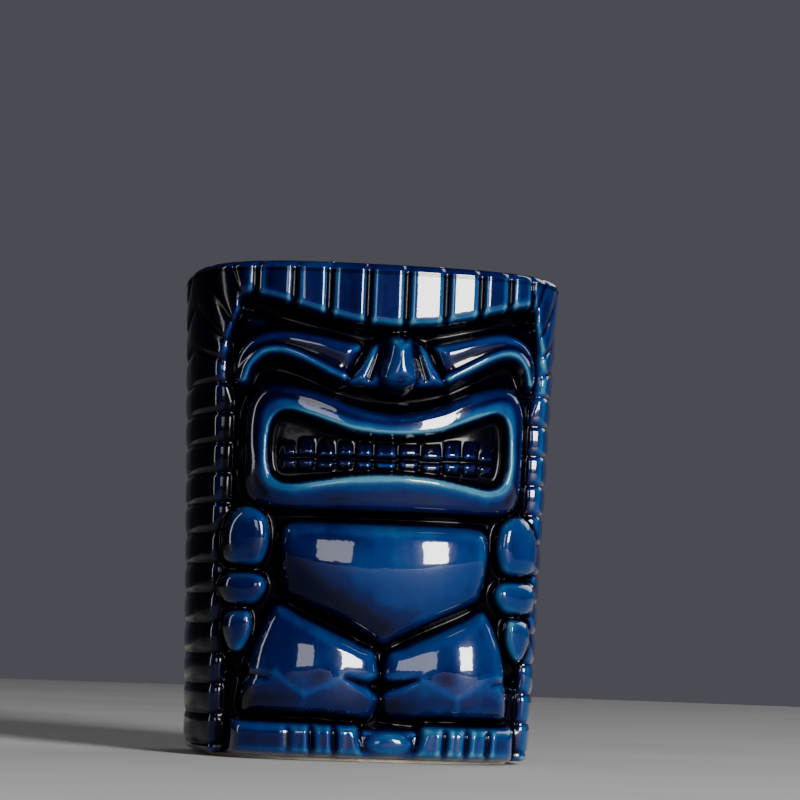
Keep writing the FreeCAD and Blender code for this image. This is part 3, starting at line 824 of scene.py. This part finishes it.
def inside_rings():
    """Down the inside wall, round its corner and in over the floor."""
    rings = []
    for z in np.linspace(HEIGHT - LIP_RISE, FLOOR_TOP + FLOOR_CORNER, 20)[1:]:
        front = float(niche_depth(z)) + WALL_THICKNESS
        rings.append(ring(z, RIM_INSET, front, RIM_INSET))
    for turn in np.linspace(0, math.pi / 2, 9)[1:]:
        inset = FLOOR_CORNER * (1 - math.cos(turn))
        z = FLOOR_TOP + FLOOR_CORNER * (1 - math.sin(turn))
        rings.append(ring(z, RIM_INSET + inset, NICHE_DEPTH + WALL_THICKNESS + inset, RIM_INSET + inset))
    floor = rings[-1]
    centre = float(floor[:, 1].mean())
    return rings + [around(centre, share, floor) for share in (0.85, 0.65, 0.45, 0.25, 0.02)]


def raised(height):
    """The outside's vertices with the surface at a height above the envelope."""
    return np.stack([X + OUT_X * height, Y + OUT_Y * height, Z], axis=2)


def grid_normals(points):
    """Normals of a grid of points that closes round the cup."""
    east = np.roll(points, -1, axis=1) - np.roll(points, 1, axis=1)
    north = np.gradient(points, axis=0)
    normal = np.cross(east, north)
    return normal / (np.linalg.norm(normal, axis=2, keepdims=True) + 1e-12)


def blurred(field, across_rows, across_columns):
    """A Gaussian blur over the grid, which closes round the cup."""
    for axis, sigma in ((0, across_rows), (1, across_columns)):
        reach = int(3 * sigma)
        offsets = np.arange(-reach, reach + 1)
        weights = np.exp(-0.5 * (offsets / sigma) ** 2)
        weights /= weights.sum()
        if axis == 0:
            rows = field.shape[0]
            padded = np.pad(field, ((reach, reach), (0, 0)), mode="edge")
            field = sum(w * padded[reach + o : reach + o + rows] for w, o in zip(weights, offsets))
        else:
            field = sum(w * np.roll(field, -o, axis=1) for w, o in zip(weights, offsets))
    return field


RIDGE_REACH, HOLLOW_REACH = 0.6, 2.6
RIDGE_SHARE, HOLLOW_SHARE, HEIGHT_SHARE = 1.5, 1.6, 0.055


def glaze_tone_and_shade(points, normals, height, glaze_and_shade):
    """Positive where the glaze runs thin over ridges, and negative in hollows and on low ground, where it
    pools and where shade is painted.
    """
    proud = []
    for reach in (RIDGE_REACH, HOLLOW_REACH):
        cells = reach / FRONT_SPACING
        mean = np.stack([blurred(points[..., axis], cells, cells) for axis in range(3)], axis=2)
        proud.append(((points - mean) * normals).sum(axis=2) / reach)
    ridges, forms = proud
    # Hollows and the sunk niche count darker, partly pooled glaze and partly painted shade; parts that
    # stand out count lighter.
    tone_and_shade = RIDGE_SHARE * ridges + HOLLOW_SHARE * np.minimum(forms, 0.0) + HEIGHT_SHARE * height + glaze_and_shade
    return np.clip(tone_and_shade, -1.0, 1.0)


# Making pieces.

CLAY_DEPTH = 1.2  # how far a form's piece reaches into the vessel
SUNK = 0.8  # how far the vessel's surface is below the forms that stand on it
LIP_SKIN = 0.9  # thickness of the lip's own piece
LIP_SUNK_SHARE, LIP_SUNK = 0.995, 0.4  # how the vessel keeps inside that piece
NICHE_TURN = 1.05  # the niche is within this angle from the front
COLUMNS_SKIPPED = 3  # elsewhere on the vessel, one column in three is enough


def make_object(name, data):
    made = bpy.data.objects.new(name, data)
    bpy.context.scene.collection.objects.link(made)
    return made


def make_mesh(name, vertices, faces, normals, tone_and_shade):
    mesh = bpy.data.meshes.new(name)
    mesh.from_pydata((vertices * MM).tolist(), [], faces)
    mesh.polygons.foreach_set("use_smooth", np.ones(len(mesh.polygons), bool))
    attribute = mesh.attributes.new("tone_and_shade", "FLOAT", "POINT")
    attribute.data.foreach_set("value", tone_and_shade.astype(np.float32))
    mesh.validate()
    mesh.update()
    if normals is not None:
        mesh.normals_split_custom_set_from_vertices(normals.tolist())
    return make_object(name, mesh)


def finish_piece(piece, nodes, material):
    piece.data.materials.append(material)
    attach(piece, "root")
    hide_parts(*nodes)


def tidy_names(names):
    """The name code of each grid cell, with ragged edges and specks smoothed away."""
    cells = names[:-1]
    for _ in range(2):
        votes = np.zeros((names.max() + 1, *cells.shape), np.int16)
        for code in range(names.max() + 1):
            same = (cells == code).astype(np.int16)
            for down in (-1, 0, 1):
                shifted = np.roll(same, down, axis=0)
                for across in (-1, 0, 1):
                    votes[code] += np.roll(shifted, across, axis=1)
        cells = votes.argmax(axis=0)
    return cells


def quads_of(rows, width):
    """The faces of a grid of points that closes round the cup."""
    index = np.arange(rows * width).reshape(rows, width)
    right = np.roll(index, -1, axis=1)
    return np.stack([index[:-1], right[:-1], right[1:], index[1:]], axis=2).reshape(-1, 4)


def patch(cells, points, normals, tone_and_shade):
    """A closed piece over some cells of the grid: its outer face, one behind it, and walls between."""
    rows, columns = np.nonzero(cells)
    width = points.shape[1]
    right = (columns + 1) % width
    here, above = rows * width, (rows + 1) * width
    corners = np.stack([here + columns, here + right, above + right, above + columns], axis=1)
    used, flat = np.unique(corners, return_inverse=True)
    quads = flat.reshape(corners.shape)
    front = points.reshape(-1, 3)[used]
    behind = front.copy()
    behind[:, 0] -= OUT_X.reshape(-1)[used] * CLAY_DEPTH
    behind[:, 1] -= OUT_Y.reshape(-1)[used] * CLAY_DEPTH
    count = len(used)
    edges = np.concatenate([quads[:, [0, 1]], quads[:, [1, 2]], quads[:, [2, 3]], quads[:, [3, 0]]])
    keys = edges[:, 0].astype(np.int64) * count + edges[:, 1]
    twins = edges[:, 1].astype(np.int64) * count + edges[:, 0]
    border = edges[~np.isin(keys, twins)]
    walls = np.stack([border[:, 1], border[:, 0], border[:, 0] + count, border[:, 1] + count], axis=1)
    faces = np.concatenate([quads, quads[:, ::-1] + count, walls])
    outer = normals.reshape(-1, 3)[used]
    tones_and_shade = tone_and_shade.reshape(-1)[used]
    return (
        np.concatenate([front, behind]),
        faces.tolist(),
        np.concatenate([outer, -outer]),
        np.concatenate([tones_and_shade, tones_and_shade]),
    )


def build_vessel(clay, outside, tone_and_shade, cells, material):
    """The closed cup under the carving. It shows in the niche, and its columns are sparser elsewhere."""
    on_wall = np.zeros(X.shape, bool)
    wall_cells = cells == 0
    for down in (0, 1):
        for across in (0, 1):
            on_wall[down : down + len(wall_cells)] |= np.roll(wall_cells, across, axis=1)
    body = raised(np.where(on_wall, clay.height, clay.height - SUNK))
    before, lip = underside_rings(), lip_rings(clay.height)
    lip_sunk = [around(AXIS_Y, LIP_SUNK_SHARE, edge) - np.array([0, 0, LIP_SUNK]) for edge in lip[:-1]]
    grid = np.concatenate([before, body, lip_sunk, lip[-1:], inside_rings()])
    normals = grid_normals(grid)
    shown = slice(len(before), len(before) + len(outside))
    normals[shown] = np.where(on_wall[..., None], grid_normals(outside), normals[shown])
    all_tone_and_shade = np.zeros(grid.shape[:2])
    all_tone_and_shade[shown] = tone_and_shade
    kept = (np.abs(TURNS) < NICHE_TURN) | (np.arange(len(TURNS)) % COLUMNS_SKIPPED == 0)
    grid, normals, all_tone_and_shade = grid[:, kept], normals[:, kept], all_tone_and_shade[:, kept]
    rows, width = grid.shape[:2]
    faces = quads_of(rows, width).tolist()
    faces.append(list(range(width))[::-1])
    faces.append([(rows - 1) * width + i for i in range(width)])
    points, normals = grid.reshape(-1, 3), normals.reshape(-1, 3)
    piece = make_mesh("glazed_cup", points, faces, normals, all_tone_and_shade.reshape(-1))
    finish_piece(piece, ["cup_wall", "cup_floor"], material)


def build_lip(clay, outside, tone_and_shade, material):
    """The rolled drinking edge, from the top of the carving over to the inside."""
    lip, inside = lip_rings(clay.height), inside_rings()
    spare, kept = 3, 3
    rows_around = np.concatenate([outside[-kept - spare :], lip, inside[: kept + spare]])
    grid = rows_around[spare:-spare]
    normals = grid_normals(rows_around)[spare:-spare]
    lip_tone_and_shade = np.zeros(grid.shape[:2])
    lip_tone_and_shade[:kept] = tone_and_shade[-kept:]
    rise = np.clip((grid[..., 2] - (HEIGHT - LIP_RISE)) / LIP_RISE, 0, 1)
    lip_tone_and_shade = np.maximum(lip_tone_and_shade, -0.1 * rise)
    rows, width = grid.shape[:2]
    quads = quads_of(rows, width)
    count = rows * width
    walls = []
    for row, flip in ((0, False), (rows - 1, True)):
        edge = np.arange(row * width, (row + 1) * width)
        right = np.roll(edge, -1)
        wall = np.stack([right, edge, edge + count, right + count], axis=1)
        walls.append(wall[:, ::-1] if flip else wall)
    piece = make_mesh(
        "rolled_lip",
        np.concatenate([grid.reshape(-1, 3), (grid - normals * LIP_SKIN).reshape(-1, 3)]),
        np.concatenate([quads, quads[:, ::-1] + count, *walls]).tolist(),
        np.concatenate([normals.reshape(-1, 3), -normals.reshape(-1, 3)]),
        np.concatenate([lip_tone_and_shade.reshape(-1)] * 2),
    )
    finish_piece(piece, ["rim_lip"], material)


def build_foot(material):
    """The bare clay ring that the mug stands on, with its two edges worn round."""
    inset, width, top = 4.6, 5.0, FOOT_RING_TOP + 0.3
    profile = [(0.0, top), (0.0, 0.9), (0.25, 0.3), (0.9, 0.0)]
    profile += [(width - across, z) for across, z in reversed(profile)]
    insets = [(z, inset + across) for across, z in profile]
    grid = np.stack([ring(z, side, side + 1.0, side) for z, side in insets])
    rows, count = grid.shape[:2]
    index = np.arange(rows * count).reshape(rows, count)
    right, above = np.roll(index, -1, axis=1), np.roll(index, -1, axis=0)
    faces = np.stack([index, above, np.roll(above, -1, axis=1), right], axis=2).reshape(-1, 4)
    piece = make_mesh("clay_foot_ring", grid.reshape(-1, 3), faces.tolist(), None, np.zeros(rows * count))
    finish_piece(piece, ["foot_ring"], material)


# Materials.

# The glaze's colour from nearly black, where it pools and where shade is painted, to teal-grey where it
# breaks over an edge.
GLAZE_STOPS = [
    (0.08, (0.0001, 0.0001, 0.0008)),
    (0.34, (0.0001, 0.0004, 0.006)),
    (0.48, (0.0001, 0.0018, 0.024)),
    (0.62, (0.0002, 0.0100, 0.054)),
    (0.76, (0.0015, 0.027, 0.076)),
    (0.93, (0.026, 0.086, 0.125)),
]
CLAY_STOPS = [
    (0.3, (0.20, 0.15, 0.11)),
    (0.5, (0.42, 0.35, 0.28)),
    (0.7, (0.58, 0.51, 0.43)),
]
FLOOR_STOPS = [
    (0.3, (0.25, 0.25, 0.25)),
    (0.7, (0.28, 0.28, 0.28)),
]


def node_tree(name):
    """A new material, its node tree, its shader and the object's own coordinates."""
    material = bpy.data.materials.new(name)
    material.use_nodes = True
    tree = material.node_tree
    where = tree.nodes.new("ShaderNodeTexCoord").outputs["Object"]
    return material, tree, tree.nodes["Principled BSDF"], where


def connect(tree, node, inputs):
    """Sets a node's inputs, each to a value of its own or from another node."""
    for name, value in inputs.items():
        if isinstance(value, bpy.types.NodeSocket):
            tree.links.new(value, node.inputs[name])
        else:
            node.inputs[name].default_value = value


def add_node(tree, kind, output, inputs):
    node = tree.nodes.new(kind)
    connect(tree, node, inputs)
    return node.outputs[output]


def noise(tree, coordinates, scale, detail, roughness=0.5, stretch=(1.0, 1.0, 1.0)):
    where = add_node(tree, "ShaderNodeMapping", "Vector", {"Vector": coordinates, "Scale": stretch})
    inputs = {"Vector": where, "Scale": scale, "Detail": detail, "Roughness": roughness}
    return add_node(tree, "ShaderNodeTexNoise", "Fac", inputs)


def calculate(tree, operation, *values):
    node = tree.nodes.new("ShaderNodeMath")
    node.operation = operation
    for socket, value in zip(node.inputs, values):
        if isinstance(value, float):
            socket.default_value = value
        else:
            tree.links.new(value, socket)
    return node.outputs["Value"]


def varied(tree, value, pattern, amount):
    """A value moved up and down by a noise pattern."""
    centred = calculate(tree, "SUBTRACT", pattern, 0.5)
    return calculate(tree, "MULTIPLY_ADD", centred, amount, value)


def ramp(tree, factor, stops):
    node = tree.nodes.new("ShaderNodeValToRGB")
    node.color_ramp.interpolation = "EASE"
    while len(node.color_ramp.elements) < len(stops):
        node.color_ramp.elements.new(0.5)
    for element, (place, colour) in zip(node.color_ramp.elements, stops):
        element.position = place
        element.color = (*colour, 1.0)
    tree.links.new(factor, node.inputs["Fac"])
    return node.outputs["Color"]


def spread_range(tree, value, low, high, from_low=0.0, from_high=1.0):
    """A value that runs from low to high as another runs from from_low to from_high."""
    inputs = {"Value": value, "From Min": from_low, "From Max": from_high, "To Min": low, "To Max": high}
    return add_node(tree, "ShaderNodeMapRange", "Result", inputs)


def bump(tree, height, strength, distance, below=None):
    inputs = {"Height": height, "Strength": strength, "Distance": distance}
    if below is not None:
        inputs["Normal"] = below
    return add_node(tree, "ShaderNodeBump", "Normal", inputs)


def cobalt_glaze():
    """A thick blue glaze: nearly black where it pools and where shade is painted, cobalt over the forms,
    and teal where it thins.
    """
    material, tree, shader, where = node_tree("cobalt_glaze")
    attribute = tree.nodes.new("ShaderNodeAttribute")
    attribute.attribute_name = "tone_and_shade"
    tone_and_shade = attribute.outputs["Fac"]
    cloud = noise(tree, where, scale=60.0, detail=3.0)
    runs = noise(tree, where, scale=150.0, detail=4.0, roughness=0.6, stretch=(1.0, 1.0, 0.28))
    grain = noise(tree, where, scale=900.0, detail=3.0, roughness=0.6)
    mixed = calculate(tree, "MULTIPLY_ADD", tone_and_shade, 0.5, 0.5)
    for pattern, amount in ((cloud, 0.30), (runs, 0.22), (grain, 0.06)):
        mixed = varied(tree, mixed, pattern, amount)
    waves = noise(tree, where, scale=70.0, detail=2.0)
    peel = noise(tree, where, scale=320.0, detail=2.0)
    soft = bump(tree, waves, strength=0.12, distance=0.0012)
    normal = bump(tree, peel, strength=0.12, distance=0.0003, below=soft)
    look = {
        "Base Color": ramp(tree, mixed, GLAZE_STOPS),
        "Roughness": spread_range(tree, cloud, 0.10, 0.24),
        "IOR": 1.5,
        "Specular IOR Level": 0.05,
        # The coat fades where the glaze is coloured darkest, so the painted shade of recesses and of the
        # left side also loses its reflections.
        "Coat Weight": spread_range(tree, tone_and_shade, 0.05, 1.0, from_low=-0.65, from_high=-0.2),
        "Coat Roughness": 0.035,
        "Coat IOR": 1.36,
        "Normal": normal,
        "Coat Normal": normal,
    }
    connect(tree, shader, look)
    return material


def bare_stoneware():
    """Fired clay, dry and finely speckled."""
    material, tree, shader, where = node_tree("bare_stoneware")
    grit = noise(tree, where, scale=1400.0, detail=4.0, roughness=0.7)
    stain = noise(tree, where, scale=80.0, detail=3.0)
    mixed = calculate(tree, "MULTIPLY_ADD", stain, 0.5, calculate(tree, "MULTIPLY", grit, 0.5))
    look = {
        "Base Color": ramp(tree, mixed, CLAY_STOPS),
        "Roughness": spread_range(tree, grit, 0.7, 0.95),
        "Normal": bump(tree, grit, strength=0.5, distance=0.0003),
    }
    connect(tree, shader, look)
    return material


def floor_paint():
    material, tree, shader, where = node_tree("studio_floor")
    mottle = noise(tree, where, scale=9.0, detail=3.0)
    connect(tree, shader, {"Base Color": ramp(tree, mottle, FLOOR_STOPS), "Roughness": 0.75})
    return material


# The studio.

FLOOR_RADIUS = 1.3
AIM = mathutils.Vector((0.0, AXIS_Y * MM, 0.07))


def studio_floor():
    """A plain round floor."""
    turns = np.linspace(0.0, 2 * math.pi, 128, endpoint=False)
    vertices = [(FLOOR_RADIUS * math.cos(turn), FLOOR_RADIUS * math.sin(turn), 0.0) for turn in turns]
    mesh = bpy.data.meshes.new("studio_floor")
    mesh.from_pydata(vertices, [], [tuple(range(len(vertices)))])
    mesh.materials.append(floor_paint())
    make_object("studio_floor", mesh)


def softbox(name, azimuth, elevation, distance, width, height, watts):
    """A rectangular light that faces the mug, at an azimuth from the front towards the viewer's right."""
    turn, rise = math.radians(azimuth), math.radians(elevation)
    away = mathutils.Vector(
        (math.sin(turn) * math.cos(rise), -math.cos(turn) * math.cos(rise), math.sin(rise))
    )
    light = bpy.data.lights.new(name, "AREA")
    light.shape = "RECTANGLE"
    light.size, light.size_y = width, height
    light.energy = watts
    lamp = make_object(name, light)
    lamp.location = AIM + away * distance
    lamp.rotation_euler = away.to_track_quat("Z", "Y").to_euler()


def lights():
    softbox("key_softbox", 23.0, 12.5, distance=1.5, width=0.40, height=0.58, watts=78.0)
    softbox("fill_window", -19.0, 11.0, distance=1.9, width=0.58, height=0.66, watts=10.0)
    softbox("left_strip", -104.0, 8.0, distance=1.2, width=0.12, height=1.4, watts=4.0)
    softbox("back_panel", 130.0, 30.0, distance=1.8, width=1.2, height=1.0, watts=10.0)


def grey_room():
    """A dim room whose far wall is an even grey."""
    world = bpy.data.worlds.new("studio")
    world.use_nodes = True
    tree = world.node_tree
    background = tree.nodes["Background"]
    background.inputs["Color"].default_value = (0.80, 0.80, 0.98, 1.0)
    direction = tree.nodes.new("ShaderNodeTexCoord").outputs["Generated"]
    to_far_wall = tree.nodes.new("ShaderNodeVectorMath")
    to_far_wall.operation = "DOT_PRODUCT"
    to_far_wall.inputs[1].default_value = (0.35, 0.94, 0.0)
    tree.links.new(direction, to_far_wall.inputs[0])
    lit = spread_range(tree, to_far_wall.outputs["Value"], 0.02, 0.095, from_low=0.885, from_high=0.925)
    tree.links.new(lit, background.inputs["Strength"])
    bpy.context.scene.world = world


def camera():
    """The camera is low in front of the mug, a little to the left, and held slightly askew."""
    azimuth, distance, height, aim_height = math.radians(-8.5), 0.8, 0.027, 0.0903
    yaw, roll = math.radians(0.6), math.radians(2.1)
    middle = AXIS_Y * MM
    place = mathutils.Vector(
        (math.sin(azimuth) * distance, middle - math.cos(azimuth) * distance, height)
    )
    forward = (mathutils.Vector((0.0, middle, aim_height)) - place).normalized()
    right = forward.cross(mathutils.Vector((0, 0, 1))).normalized()
    up = right.cross(forward)
    forward, right = (
        forward * math.cos(yaw) + right * math.sin(yaw),
        right * math.cos(yaw) - forward * math.sin(yaw),
    )
    across = right * math.cos(roll) + up * math.sin(roll)
    upright = up * math.cos(roll) - right * math.sin(roll)
    data = bpy.data.cameras.new("camera")
    data.sensor_width = 36.0
    data.lens = 142.65
    data.clip_start = 0.01
    viewer = make_object("camera", data)
    turned = mathutils.Matrix((across, upright, -forward)).transposed()
    viewer.matrix_world = mathutils.Matrix.Translation(place) @ turned.to_4x4()
    bpy.context.scene.camera = viewer


def build_mug():
    glaze = cobalt_glaze()
    clay = sculpt()
    outside = raised(clay.height)
    normals = grid_normals(outside)
    tone_and_shade = glaze_tone_and_shade(outside, normals, clay.height, clay.glaze_and_shade)
    cells = tidy_names(clay.names)
    build_vessel(clay, outside, tone_and_shade, cells, glaze)
    build_lip(clay, outside, tone_and_shade, glaze)
    build_foot(bare_stoneware())
    for name, code in clay.index.items():
        if name:
            piece = make_mesh(name + "_carving", *patch(cells == code, outside, normals, tone_and_shade))
            finish_piece(piece, [name], glaze)


build_mug()
studio_floor()
lights()
grey_room()
camera()
